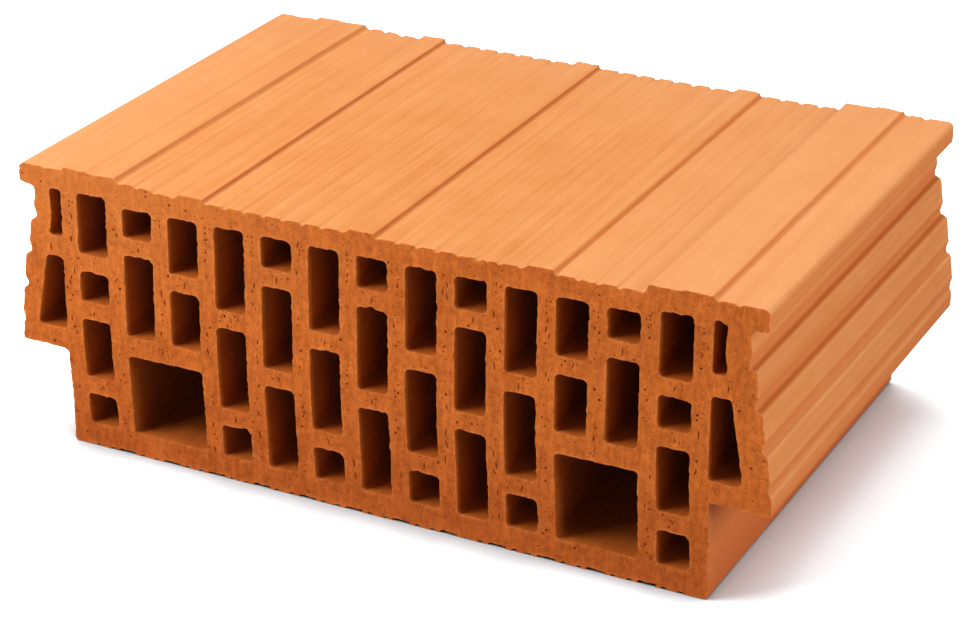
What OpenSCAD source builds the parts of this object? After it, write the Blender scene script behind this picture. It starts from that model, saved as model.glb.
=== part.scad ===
// Hollow fired-clay ceiling block, laid between two floor beams on its side ledges.
// It is extruded along Y as one section, so every wall, hole, comb and groove runs its whole length.
// Z = 0 is the underside. X runs across the block, from one beam to the other.

/* [Block] */
// Length along the extrusion, from cut end to cut end
block_length = 333; // [150:1:500]
// Thickness of the floor plate under the lowest holes
floor_plate = 16; // [12:0.5:20]
// Thickness of the deck plate over the top row of holes
deck_plate = 14; // [10:0.5:20]
// Thickness of the side walls of the lower body
side_wall = 12.5; // [11:0.5:16]
// Radius of the plain outer corners
corner_r = 3; // [1:0.5:4]

/* [Holes] */
// Distance between the centres of neighbouring columns of holes
column_pitch = 33; // [30:0.5:36]
// Thickness of the clay walls between holes
web = 12; // [10:0.5:15]
// Height of a tall hole
tall_hole = 56; // [48:0.5:64]
// Height of the small holes that close the bottom row
low_hole = 22; // [16:0.5:28]
// How much higher the outermost columns reach than the top row
edge_column_rise = 4.5; // [0:0.5:5]
// Radius of the corners of the holes
hole_r = 3; // [1:0.5:5]

/* [Ledges and flanks] */
// Height of the ledges that rest on the beams
ledge_height = 65; // [55:1:75]
// Width of a ledge, from the lower body out to the foot's edge
ledge_w = 36.5; // [35:0.5:45]
// Thickness of the clay over a ledge, below the flank hole
foot_plate = 14; // [11:0.5:20]
// Thickness of the flank wall, measured behind the grooves
flank_wall = 13; // [11:0.5:14]
// How far the flank draws in from the foot to the uppermost band
flank_draw = 12.5; // [9:0.5:15]
// Height of the foot's upright edge
foot_rise = 11.5; // [8:0.5:15]
// Height of the groove between two bands
groove_height = 8.8; // [6:0.2:11]
// Depth of the groove below a band
groove_bite = 1.3; // [0.5:0.1:2]
// How far a band leans out over its height
band_lean = 2.4; // [1:0.2:3]

/* [Neck and lip] */
// Height of the plain neck between the uppermost band and the lip
neck_height = 25.6; // [20:0.2:32]
// How far the lip reaches out over the neck
lip_w = 11; // [8:0.5:13]
// How far the lip stays behind the edge of the foot
lip_inset = 4.5; // [3:0.5:6]
// Thickness of the lip at the edge of the deck
lip_thickness = 14; // [11:0.5:16]

/* [Deck] */
// Width of the raised strip along each edge of the deck
edge_strip_w = 75; // [72:1:82]
// Height of the raised edge strips above the deck
edge_rise = 5; // [3:0.5:7]
// Height of the three middle strips above the deck
strip_rise = 2.2; // [1:0.2:4]
// Width of a middle strip
strip_w = 19; // [12:1:26]
// Distance between the middle strips
strip_spacing = 118.5; // [105:0.5:128]
// Distance between neighbouring comb grooves in the deck
comb_pitch = 13; // [9:0.5:18]
// Width of a comb groove at its mouth
comb_w = 4.8; // [3:0.2:6]
// Depth of a comb groove
comb_depth = 1.3; // [0.5:0.1:2.5]

/* [Underside] */
// Width of the wide plaster key under each wall
key_w = 12; // [8:0.5:15]
// Depth of the wide plaster key
key_depth = 1.6; // [0.8:0.1:3]
// Width of a narrow plaster key
small_key_w = 3; // [2:0.5:5]
// Depth of a narrow plaster key
small_key_depth = 1.2; // [0.5:0.1:2.5]

/* [Hidden] */
// Full columns of holes on each side of the middle one
side_columns = 6;
// Bands on each flank, above the foot
band_count = 3;
// Straight pieces in a rounded corner
arc_steps = 4;
// Small radii and slopes of the outline's finer edges
edge_r = 1;
fine_r = 0.8;
ease = 2;
// Overlap of cutters past a surface
cut = 1;

// The ridge along the middle of an edge strip, measured from the strip's inner edge
ridge_near = 22;
ridge_far = 44;
ridge_rise = 1;
// The two comb grooves outside the ridge, measured from the lip's edge
lip_combs = [19, 32];
// Distance of a narrow key from the middle of its column, as a share of the pitch
key_offset = 0.16;
// The slim hole's floor below the top of the uppermost band, and its waist over the floor
slim_drop = 7;
slim_waist = 16;
slim_r = 2.5;

hole_w = column_pitch - web;
field_height = 2 * tall_hole + 2 * web + low_hole;
field_top = floor_plate + field_height;
deck_height = field_top + deck_plate;
edge_column_height = field_height + edge_column_rise;
edge_hole = (edge_column_height - hole_w - low_hole - 3 * web) / 2;
big_hole_top = floor_plate + tall_hole;
big_web = web + 2;

body_half = side_columns * column_pitch + hole_w / 2 + side_wall;
foot_half = body_half + ledge_w;
lip_half = foot_half - lip_inset;
neck_half = lip_half - lip_w;
deck_half = lip_half - edge_strip_w - ease;

lip_top = deck_height + edge_rise - ridge_rise;
lip_low = lip_top - lip_thickness;
foot_top = ledge_height + foot_rise;
band_pitch = (lip_low - neck_height - foot_top) / band_count;
band_height = band_pitch - groove_height;

// --- Outline helpers ---------------------------------------------------------------------

function unit(v) = v / norm(v);
function corner_xy(c) = [c[0], c[1]];
function turn(a) = a > 180 ? a - 360 : (a < -180 ? a + 360 : a);

// Points of one corner [x, z, r], rounded between the corners before and after it
function corner_points(before, c, after) =
    c[2] == 0 ? [corner_xy(c)] :
    let (
        here = corner_xy(c),
        u = unit(corner_xy(before) - here),
        v = unit(corner_xy(after) - here),
        half = acos(u * v) / 2,
        reach = c[2] / tan(half),
        centre = here + unit(u + v) * c[2] / sin(half),
        start = here + u * reach - centre,
        end = here + v * reach - centre,
        first = atan2(start[1], start[0]),
        sweep = turn(atan2(end[1], end[0]) - first)
    )
    [for (i = [0 : arc_steps])
        centre + c[2] * [cos(first + sweep * i / arc_steps), sin(first + sweep * i / arc_steps)]];

// Points of a closed outline given as corners [x, z, r]
function rounded(corners) =
    let (n = len(corners))
    [for (i = [0 : n - 1])
        each corner_points(corners[(i + n - 1) % n], corners[i], corners[(i + 1) % n])];

// The same corners on the -X side, in the order that goes on around the outline
function mirrored(corners) =
    [for (i = [len(corners) - 1 : -1 : 0]) [-corners[i][0], corners[i][1], corners[i][2]]];

module outline(corners) {
    polygon(rounded(corners));
}

// --- Flanks ------------------------------------------------------------------------------

// Bands are counted down from the uppermost one, 0, to the foot, which is band_count
function band_half(i) = foot_half - flank_draw * pow((band_count - i) / band_count, 1.5);
function band_top(i) = foot_top + band_pitch * (band_count - i);
function band_foot_half(i) = min(band_half(i) + band_lean, foot_half);
function groove_half(i) = band_foot_half(i) - groove_bite;

// Corners of band i on the +X side, from the groove below it up to the groove above it
function band_corners(i) =
    let (
        low = band_top(i) - band_height,
        above = i == 0 ? neck_half - groove_bite : groove_half(i - 1)
    )
    [
        [groove_half(i), low - ease, 0],
        [band_foot_half(i), low, fine_r],
        [band_half(i), band_top(i), edge_r],
        [above, band_top(i) + ease, 0]
    ];

// Corners of the lower body, the ledge and the foot on the +X side
function foot_corners() = [
    [body_half, 0, corner_r],
    [body_half, ledge_height, corner_r],
    [foot_half, ledge_height, corner_r],
    [foot_half, foot_top, edge_r],
    [groove_half(band_count - 1), foot_top + ease, 0]
];

// Corners of the neck and the lip on the +X side
function lip_corners() =
    let (neck_low = band_top(0) + groove_height)
    [
        [neck_half - groove_bite, neck_low - ease, 0],
        [neck_half, neck_low, 0],
        [neck_half, lip_low, ease],
        [lip_half, lip_low, edge_r],
        [lip_half, lip_top, corner_r]
    ];

// Corners of the stepped edge strip, from the lip in to the deck, on the +X side
function edge_strip_corners() =
    let (strip_top = deck_height + edge_rise)
    [
        [deck_half + ridge_far, lip_top, 0],
        [deck_half + ridge_far - ease, strip_top + ridge_rise, fine_r],
        [deck_half + ridge_near + ease, strip_top + ridge_rise, fine_r],
        [deck_half + ridge_near, strip_top, 0],
        [deck_half + ease, strip_top, edge_r],
        [deck_half, deck_height, 0]
    ];

module plain_block() {
    side = concat(
        foot_corners(),
        [for (i = [band_count - 1 : -1 : 0]) each band_corners(i)],
        lip_corners(),
        edge_strip_corners()
    );
    outline(concat(side, mirrored(side)));
}

// --- Deck --------------------------------------------------------------------------------

// Right edge of middle strip i, with i = -1, 0 or 1
function strip_right(i) = i * strip_spacing;
function strip_left(i) = strip_right(i) - strip_w;

module strips() {
    for (i = [-1 : 1])
        outline([
            [strip_left(i), deck_height - cut, 0],
            [strip_right(i), deck_height - cut, 0],
            [strip_right(i), deck_height + strip_rise, fine_r],
            [strip_left(i) + ease, deck_height + strip_rise, fine_r]
        ]);
}

// One comb groove, cut down from the height given
module comb_groove(x, top) {
    mouth = comb_w / 2;
    bottom = comb_w / 5;
    polygon([
        [x - mouth, top + cut],
        [x - mouth, top],
        [x - bottom, top - comb_depth],
        [x + bottom, top - comb_depth],
        [x + mouth, top],
        [x + mouth, top + cut]
    ]);
}

// Comb grooves spread evenly over one field of the deck, the first and last at its edges
module comb_field(x0, x1) {
    first = x0 + comb_w / 2;
    last = x1 - comb_w / 2;
    gaps = max(1, round((last - first) / comb_pitch));
    for (i = [0 : gaps])
        comb_groove(first + (last - first) * i / gaps, deck_height);
}

module combing() {
    comb_field(-deck_half, strip_left(-1));
    comb_field(strip_right(-1), strip_left(0));
    comb_field(strip_right(0), strip_left(1));
    comb_field(strip_right(1), deck_half);
    for (side = [-1, 1], inset = lip_combs)
        comb_groove(side * (lip_half - inset), lip_top);
}

// --- Underside ---------------------------------------------------------------------------

module key(x, w, depth) {
    translate([x - w / 2, -cut])
        square([w, cut + depth]);
}

// A wide key lies under each wall between columns, and two narrow ones under each column
module keys() {
    for (i = [-side_columns : side_columns - 1])
        key((i + 0.5) * column_pitch, key_w, key_depth);
    for (i = [-side_columns : side_columns], side = [-1, 1])
        key((i + side * key_offset) * column_pitch, small_key_w, small_key_depth);
}

// --- Holes -------------------------------------------------------------------------------

// A hole with upright sides, from its ceiling down
module hole(x, w, top, height) {
    outline([
        [x - w / 2, top - height, hole_r],
        [x + w / 2, top - height, hole_r],
        [x + w / 2, top, hole_r],
        [x - w / 2, top, hole_r]
    ]);
}

function total(v, n) = n <= 0 ? 0 : v[n - 1] + total(v, n - 1);

// A column of holes with the heights given, from its ceiling down, one web apart
module stack(column, top, heights) {
    for (i = [0 : len(heights) - 1])
        hole(column * column_pitch, hole_w, top - total(heights, i) - i * web, heights[i]);
}

// The big square hole, and the two short columns of holes over it
module big_hole_group(side) {
    short_field = field_top - big_hole_top - big_web;
    half_height = (short_field - web) / 2;
    hole(side * 4.5 * column_pitch, column_pitch + hole_w, big_hole_top, tall_hole);
    stack(side * 4, field_top, [half_height, half_height]);
    stack(side * 5, field_top, [short_field - web - tall_hole, tall_hole]);
}

// The slim bent hole and the trapezoid hole that follow the flank
module flank_holes(side) {
    inner = side_columns * column_pitch + hole_w / 2 + web;
    slim_top = field_top + edge_column_rise;
    slim_low = band_top(0) - slim_drop;
    slim_half = neck_half - flank_wall;
    wide_top = slim_low - big_web;
    wide_low = ledge_height + foot_plate;
    outline([
        [side * inner, slim_low, slim_r],
        [side * (slim_half + 1), slim_low, slim_r],
        [side * (slim_half - 1), slim_low + slim_waist, 0],
        [side * slim_half, slim_top, slim_r],
        [side * inner, slim_top, slim_r]
    ]);
    outline([
        [side * inner, wide_low, hole_r],
        [side * (band_half(2) - flank_wall), wide_low, hole_r],
        [side * (groove_half(0) - flank_wall), wide_top, hole_r],
        [side * inner, wide_top, hole_r]
    ]);
}

// Every column fills the field's height. Columns with a small hole on top
// stand beside columns with a tall one, so that the webs are staggered like bricks.
module holes() {
    last_tall = tall_hole + web + low_hole - hole_w;
    stack(0, field_top, [hole_w, tall_hole, last_tall - web]);
    for (side = [-1, 1]) {
        stack(side * 1, field_top, [tall_hole, tall_hole, low_hole]);
        stack(side * 2, field_top, [hole_w, tall_hole, last_tall - web]);
        stack(side * 3, field_top, [tall_hole, tall_hole, low_hole]);
        big_hole_group(side);
        stack(
            side * side_columns,
            field_top + edge_column_rise,
            [edge_hole, hole_w, edge_hole, low_hole]
        );
        flank_holes(side);
    }
}

// --- The block ---------------------------------------------------------------------------

module section() {
    difference() {
        union() {
            plain_block();
            strips();
        }
        combing();
        keys();
        holes();
    }
}

module ceiling_block() {
    color("chocolate")
        rotate([90, 0, 0])
            linear_extrude(block_length, center = true)
                section();
}

ceiling_block();
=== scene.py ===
# %% [markdown]
# # A hollow ceiling block of fired clay
# A press pushes soft clay through a steel die. The strand that comes out has the block's whole
# section: the side ledges, the banded flanks, the combed deck and 43 holes. A wire cuts the strand
# into blocks, which are dried and fired. So the block has three kinds of surface, and this lesson
# builds them one after the other: the drawn skin outside, the drawn walls of the holes, and the
# grainy faces where the wire went through.
#
# The construction model already has the true section, but as clean geometry. It could be shown
# with a bumpy material alone. Here it is meshed anew from its own outlines, because burrs, torn
# rims, pits and cracks change the silhouette and catch light in a way that a bump can't.

# %% Load the construction model
import math

import bpy
import numpy as np
from mathutils import Matrix, Vector
from mathutils.geometry import delaunay_2d_cdt
from mathutils.kdtree import KDTree


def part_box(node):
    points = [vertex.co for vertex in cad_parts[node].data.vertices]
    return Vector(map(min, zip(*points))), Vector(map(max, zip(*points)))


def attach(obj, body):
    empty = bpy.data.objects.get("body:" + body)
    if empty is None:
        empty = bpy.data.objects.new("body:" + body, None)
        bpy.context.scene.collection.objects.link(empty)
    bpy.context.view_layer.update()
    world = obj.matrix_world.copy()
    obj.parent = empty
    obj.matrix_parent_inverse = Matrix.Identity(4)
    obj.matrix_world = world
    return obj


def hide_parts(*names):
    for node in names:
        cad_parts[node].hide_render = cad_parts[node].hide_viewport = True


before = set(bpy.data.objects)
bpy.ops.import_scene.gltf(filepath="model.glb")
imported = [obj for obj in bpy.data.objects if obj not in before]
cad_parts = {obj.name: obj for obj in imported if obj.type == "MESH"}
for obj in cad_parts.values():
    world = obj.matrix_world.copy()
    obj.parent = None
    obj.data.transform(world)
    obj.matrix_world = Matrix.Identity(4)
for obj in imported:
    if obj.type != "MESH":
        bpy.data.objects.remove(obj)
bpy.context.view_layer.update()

low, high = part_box("ceiling_block")
print("the block measures", [round(v * 1000, 1) for v in high - low], "mm")

# %% [markdown]
# ## Units and chance
# Blender counts in metres, and a clay block is best thought of in millimetres. All shapes below are
# worked out in millimetres and turned into metres once, when the mesh is made. Everything that
# looks accidental comes from one seeded source of chance, so each run gives the same block.

# %% Units and chance
mm = 0.001
SEED = 1863
front, back = low.y / mm, high.y / mm
length = back - front
chance = np.random.default_rng(SEED)
print("length along the press direction:", round(length, 1), "mm")

# %% [markdown]
# ## Reading the section
# The section could be drawn again from its measures, but read from the construction model it
# always fits. The end face is one flat face with 43 holes in it. Its triangles are neighbours of
# each other except along the outlines, so an edge that belongs to only one triangle lies on an
# outline. Following such edges from corner to corner gives each outline as a closed loop. The clay
# is always on the left of the way the loop runs, and the air on its right.

# %% Find the outlines of the end face
PER_MM = 100             # places are compared in hundredths of a millimetre


def end_outlines(mesh, y_end):
    """Closed loops of (x, z) around the flat face at y_end, the outer one first."""
    mesh.calc_loop_triangles()
    places = np.round(np.array([v.co for v in mesh.vertices]) / mm * PER_MM).astype(int)
    spots, spot_of = np.unique(places, axis=0, return_inverse=True)
    triangles = spot_of.reshape(-1)[np.array([t.vertices for t in mesh.loop_triangles])]
    on_end = np.abs(spots[:, 1] - y_end * PER_MM) < 1
    edges = set()
    for a, b, c in triangles[on_end[triangles].all(axis=1)].tolist():
        edges.update([(a, b), (b, c), (c, a)])
    following = dict(sorted(e for e in edges if e[::-1] not in edges))
    loops = []
    while following:
        spot = min(following)
        loop = []
        while spot in following:
            loop.append(spot)
            spot = following.pop(spot)
        loops.append(spots[loop][:, [0, 2]] / PER_MM)
    return sorted(loops, key=lambda loop: -np.ptp(loop[:, 0]))


outlines = end_outlines(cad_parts["ceiling_block"].data, front)
print(len(outlines) - 1, "holes; the outer outline has", len(outlines[0]), "corners")

# %% [markdown]
# ## Even points along the outlines
# A long straight edge has a corner only at each end, and nothing in between that could be torn or
# wavy. Subdividing would cut every edge alike and crowd the short ones. So points are added by
# length. The corners themselves stay, because a comb groove or a plaster key is only a few
# millimetres wide.

# %% Add points between the corners
def with_even_points(loop, step, closest=0.45, slack=0.3):
    """The loop with points about step apart.

    A corner closer than closest to the one before it is left out. A piece may be longer than step
    by the share slack before it is cut in two.
    """
    kept = [loop[0]]
    for corner in loop[1:]:
        if math.dist(corner, kept[-1]) >= closest:
            kept.append(corner)
    points = []
    for a, b in zip(kept, kept[1:] + kept[:1]):
        pieces = max(1, math.ceil(math.dist(a, b) / step - slack))
        points += [a + (b - a) * i / pieces for i in range(pieces)]
    return np.array(points)


def air_side(loop):
    """Unit vectors that point from the clay into the air, one for each point of the loop."""
    run = np.roll(loop, -1, axis=0) - np.roll(loop, 1, axis=0)
    side = np.stack([run[:, 1], -run[:, 0]], axis=1)
    return side / np.linalg.norm(side, axis=1)[:, None]


outer = with_even_points(outlines[0], step=1.4)
holes = [with_even_points(loop, step=1.7) for loop in outlines[1:]]
print("points:", len(outer), "outside and", sum(map(len, holes)), "around the holes")

# %% [markdown]
# ## Telling the combing from the steps
# The comb grooves of the deck come out of a worn die shallower than they were cut, but the raised
# strips keep their height. To tell the two apart, the deck is closed: each spot takes the highest
# level nearby, and then the lowest of those. That fills every valley narrower than the reach, and
# leaves a step where it is. The difference to the true deck is the combing alone.

# %% Read the deck
DECK_DEPTH = 8           # the deck's points lie less than this below the top
LIP_END = 5              # and more than this in from the sides
SAMPLE = 0.2             # how close together the deck is read
VALLEY_REACH = 15        # in samples to each side: wider than half a groove


def ease(t):
    return t * t * (3 - 2 * t)


def ramp(values, start, end):
    """Rises smoothly from 0 at start to 1 at end."""
    return ease(np.clip((values - start) / (end - start), 0, 1))


def nearby(values, reach, pick):
    """The highest or lowest of the values within reach places to each side."""
    return pick([np.roll(values, shift) for shift in range(-reach, reach + 1)], axis=0)


top_of_block, half_width = outer[:, 1].max(), outer[:, 0].max()
on_deck = outer[:, 1] > top_of_block - DECK_DEPTH
on_deck = on_deck & (np.abs(outer[:, 0]) < half_width - LIP_END)
deck_points = outer[on_deck][np.argsort(outer[on_deck, 0])]
deck_x = np.arange(deck_points[0, 0], deck_points[-1, 0], SAMPLE)
deck_z = np.interp(deck_x, deck_points[:, 0], deck_points[:, 1])
closed_z = nearby(nearby(deck_z, VALLEY_REACH, np.max), VALLEY_REACH, np.min)
field_level = float(np.median(closed_z))
combing = np.interp(outer[:, 0], deck_x, closed_z - deck_z)
print("combing up to", round(float(combing.max()), 2), "mm deep on a deck at", field_level, "mm")

# %% [markdown]
# ## A worn die
# Shallower grooves in the construction model would be the same everywhere, and wear isn't. Only a
# share of the combing is kept, and none of it right beside a step. At the two cut ends the wire
# tears the grooves open again. The field at the left also comes up towards the edge strip, which
# nearly hides its step.

# %% Wear the combing down
COMB_LEFT = 0.5          # the share of the combing that is kept
COMB_TORN = 0.6          # the share that is torn open again at the cut ends
STEP_DROP = (0.8, 1.6)   # a smaller drop is no step, and a bigger one is a whole step
FAR, CLOSE = 5.5, 0.6    # a step is looked for so far on its own side, and so far on the other
ON_STEP = (1.8, 0.8)     # the same to the left and the right, for the slope of the step itself
LEFT_FIELD = (137, 172)  # how far left of the middle the field starts to rise, and stops
FIELD_RISE = 2.6
STRIP_RISE = 4           # what lies this far above the field doesn't rise with it


def drop(from_left, to_right):
    """How far the closed deck drops from so far left of each point to so far right of it."""
    left = np.interp(outer[:, 0] - from_left, deck_x, closed_z)
    return left - np.interp(outer[:, 0] + to_right, deck_x, closed_z)


step_at_left = ramp(drop(FAR, CLOSE), *STEP_DROP)
step_at_right = ramp(-drop(CLOSE, FAR), *STEP_DROP)
beside_step = np.maximum(step_at_left, step_at_right)
kept = COMB_LEFT * (1 - beside_step)
steps_down = np.where(on_deck, ramp(drop(*ON_STEP), *STEP_DROP), 0)
combed_at_ends = np.where(on_deck, COMB_TORN * combing, 0)
above_field = np.clip((outer[:, 1] - field_level) / STRIP_RISE, 0, 1)
field_rise = FIELD_RISE * ramp(-outer[:, 0], *LEFT_FIELD) * (1 - above_field)
outer[:, 1] += np.where(on_deck, (1 - kept) * combing + field_rise, 0)
print("combing left on the fields:", round(float((COMB_LEFT * combing).max()), 2), "mm")

# %% [markdown]
# ## Softening the drawn edges
# Steel edges are crisp and clay is not: it tears and slumps a little as it leaves the die. A bevel
# would round every edge alike. Here each point moves to the mean of its neighbours, weighed by a
# bell curve along the outline. The ends of the lips and the undersides of the bands slump the
# most, since they hang free. The keyed underside carries the strand and stays as it is. The bottom
# edge of each flank comes out crisper than the rest, so it is moved halfway back to its corner.

# %% Soften the outline
KEYS_TOP = 8             # the keyed underside ends at this level
BANDS = (68, 165)        # the flanks' bands lie between these levels
LIP_BOTTOM = 170
LIP_NARROWS = (246, 251)           # how far from the middle a lip starts to slump, and fully does
EDGE_BELL, BAND_BELL, LIP_BELL = 0.55, 2.4, 2.6
RIGHT_LIP = 0.2          # the right lip slumps only so much of what the left one does
UNDERSIDE = (0.05, 0.3)  # the downward share of a direction that makes it an underside
OUTERMOST = 10           # the widest part of the flanks lies within this of the sides
CRISP, CRISP_REACH = 0.5, 3.2      # how far back the bottom edges move, and how much of them


def softened(loop, reach):
    """The loop after averaging along it, over about reach to each side."""
    to_next = np.linalg.norm(np.roll(loop, -1, axis=0) - loop, axis=1)
    share = to_next + np.roll(to_next, 1)
    place = np.cumsum(to_next)
    apart = np.abs(place[:, None] - place[None, :])
    apart = np.minimum(apart, place[-1] - apart)
    bell = np.exp(-0.5 * (apart / reach) ** 2) * share
    return bell @ loop / bell.sum(axis=1)[:, None]


flat_underside = outer[:, 1] < KEYS_TOP
at_lip = ramp(np.abs(outer[:, 0]), *LIP_NARROWS) * (outer[:, 1] > LIP_BOTTOM)
by_side = np.where(outer[:, 0] < 0, 1.0, RIGHT_LIP)
at_lip = (at_lip * by_side)[:, None]
slumped = softened(outer, EDGE_BELL) * (1 - at_lip) + softened(outer, LIP_BELL) * at_lip
outer = np.where(flat_underside[:, None], outer, slumped)
on_flank = (outer[:, 1] > BANDS[0]) & (outer[:, 1] < BANDS[1])
undercut = (ramp(-air_side(outer)[:, 1], *UNDERSIDE) * on_flank)[:, None]
outer = outer * (1 - undercut) + softened(outer, BAND_BELL) * undercut

ledge = float(outer[np.abs(outer[:, 0]) > half_width - OUTERMOST, 1].min())
ledge_edge = np.sign(outer) * np.array([half_width, ledge])
at_edge = CRISP * (np.linalg.norm(outer - ledge_edge, axis=1) < CRISP_REACH)[:, None]
outer = outer * (1 - at_edge) + ledge_edge * at_edge
print("undercut points:", int((undercut > 0.5).sum()), "and ledges at", round(ledge, 1), "mm")

# %% [markdown]
# ## Painted shade in corners
# The corner of a groove lies in shade, and this shade is painted into its colour as a deeper tone.
# Ambient occlusion in the material could find such corners, but it darkens wide hollows too. Here
# each one is found in the outline: a wider bell gives the general run of the surface, and what lies
# behind that run is the corner of a groove. The steps of the deck get painted shade as well, and
# most of all the narrow shelf below each groove of a flank, the more so the higher it lies.

# %% Find the corners for painted shade
CORNER_BELL = 1.3
CORNER_DEPTH = 0.35      # a corner this far behind the general run has the full corner tone
CORNER_SHADE, STEP_SHADE, SHELF_SHADE = 0.38, 0.40, 0.92
SHELF_LEVEL = (0.7, 0.92)          # the upward share of a shelf's direction
HIGH_ON_FLANK = (85, 135)          # between these levels the tone grows from its low share
LOW_SHARE = 0.55


def behind(loop, reach):
    """How far each point lies behind the general run of the outline."""
    return ((softened(loop, reach) - loop) * air_side(loop)).sum(axis=1)


corner_shade = CORNER_SHADE * behind(outer, CORNER_BELL) / CORNER_DEPTH
corner_shade = np.clip(corner_shade, 0, CORNER_SHADE)
shelf_shade = SHELF_SHADE * ramp(air_side(outer)[:, 1], *SHELF_LEVEL) * on_flank
by_height = LOW_SHARE + (1 - LOW_SHARE) * ramp(outer[:, 1], *HIGH_ON_FLANK)
corner_shade = np.maximum(corner_shade, shelf_shade) * by_height
# Painted shade: the corners of grooves, the deck's steps and the flanks' shelves get a deeper tone
# in the colour.
painted_shade = np.where(on_deck, STEP_SHADE * steps_down, corner_shade) * ~flat_underside
print("sheltered points:", int((painted_shade > 0.5).sum()), "of", len(outer))

# %% [markdown]
# ## Smooth chance
# Raw random numbers look like static. Real clay is uneven in a smooth way, so the numbers are
# placed some distance apart and blended in between: along a line for rims, over an area for
# surfaces.

# %% Smooth chance along a loop and over an area
def wander(loop, bump):
    """A smooth random value for each point of the loop, about -1 to 1, with a bump every so far."""
    stretch = np.linalg.norm(np.roll(loop, -1, axis=0) - loop, axis=1)
    count = max(4, round(stretch.sum() / bump))
    knots = chance.normal(0, 0.5, count)
    place = (np.cumsum(stretch) - stretch) / stretch.sum() * count
    i = place.astype(int)
    t = ease(place - i)
    return knots[i % count] * (1 - t) + knots[(i + 1) % count] * t


def hills(u, v, size):
    """A smooth random value from -1 to 1 for each point (u, v), with one hill or dip every size."""
    s, t = (u - u.min()) / size, (v - v.min()) / size
    grid = chance.uniform(-1, 1, (int(s.max()) + 2, int(t.max()) + 2))
    i, j = s.astype(int), t.astype(int)
    s, t = ease(s - i), ease(t - j)
    near = grid[i, j] * (1 - s) + grid[i + 1, j] * s
    far = grid[i, j + 1] * (1 - s) + grid[i + 1, j + 1] * s
    return near * (1 - t) + far * t


print("a sample of wander:", np.round(wander(outer, 3.0)[:5], 2))

# %% [markdown]
# ## A store for the mesh
# The walls and the end faces could be objects of their own, joined at the end, but then a seam
# would run along every rim. The block is one closed skin, and its parts share the points of the
# rims. So all points go into one store, and each face keeps the number of the finish that it will
# get. Three more values travel with each point: how deep it lies in a pit, how near it is to a
# rim, and how much painted shade it gets.

# %% The store
DRAWN, BORE, CUT = 0, 1, 2
clay = {"points": [], "hollow": [], "rim": [], "painted_shade": [], "faces": [], "finish": []}


def add_points(points, hollow=0.0, rim=0.0, painted_shade=0.0):
    """Stores rows of (x, y, z) and returns the number of the first."""
    first = sum(map(len, clay["points"]))
    clay["points"].append(points)
    for name, values in (("hollow", hollow), ("rim", rim), ("painted_shade", painted_shade)):
        clay[name].append(np.broadcast_to(values, len(points)))
    return first


def add_faces(faces, finish):
    clay["faces"] += faces.tolist()
    clay["finish"] += np.broadcast_to(finish, len(faces)).tolist()


print("finishes:", {"drawn skin": DRAWN, "hole walls": BORE, "wire-cut faces": CUT})

# %% [markdown]
# ## Drawing the walls
# A wall is its outline repeated along the block, like the strand leaving the die. An array or an
# extrude would do for a perfect wall. Rings that are moved one by one can do more: each point gets
# a push into the air or into the clay. The push has a part that runs along the whole block, from
# grit that sticks in the die and scores a line, a slow wave from drying, and a ragged part that
# only lives within a few millimetres of a rim, where the wire tore the clay. The wire ran down and
# to the left, so it left the upper and the right side of every hole more ragged than the others.

# %% A wall from an outline
TORN_DEPTH = 2.4         # how fast the ragged part dies away from a rim
# The pale rim tone is partly rubbed dust and partly a painted highlight.
RIM_DUST_AND_HIGHLIGHT_DEPTH = 1.2       # how fast the rubbed tone does
WIRE_RUN = 0.7           # the wire's share of down, and of left
SCORE_BUMP, TEAR_BUMP, BIG_TEAR_BUMP, ROUNDING_BUMP, WAVE_BUMP = 2.2, 2.4, 6.0, 2.0, 45.0
BIG_TEARS = 0.3          # their share beside the small ones
LEAST_TORN, TORN_BY_WIRE = 0.35, 0.9         # a rim's share of torn, and what facing the wire adds


def nick(ragged, loop):
    """Bites one small chip out of a rim."""
    centre = loop[chance.integers(len(loop))]
    reach = chance.uniform(1.5, 4.0)
    away = np.linalg.norm(loop - centre, axis=1) / reach
    ragged -= chance.uniform(0.3, 1.0) * np.clip(1 - away ** 2, 0, 1)


def join_rings(first, count, rings, finish):
    """Faces between rings of count points. The rounding at both rims belongs to the cut."""
    here = np.arange(count)
    there = (here + 1) % count
    for k in range(rings - 1):
        a, b = first + k * count, first + (k + 1) * count
        quads = np.stack([a + here, b + here, b + there, a + there], axis=1)
        add_faces(quads, CUT if k in (0, rings - 2) else finish)
    return first + here, first + (rings - 1) * count + here


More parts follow.
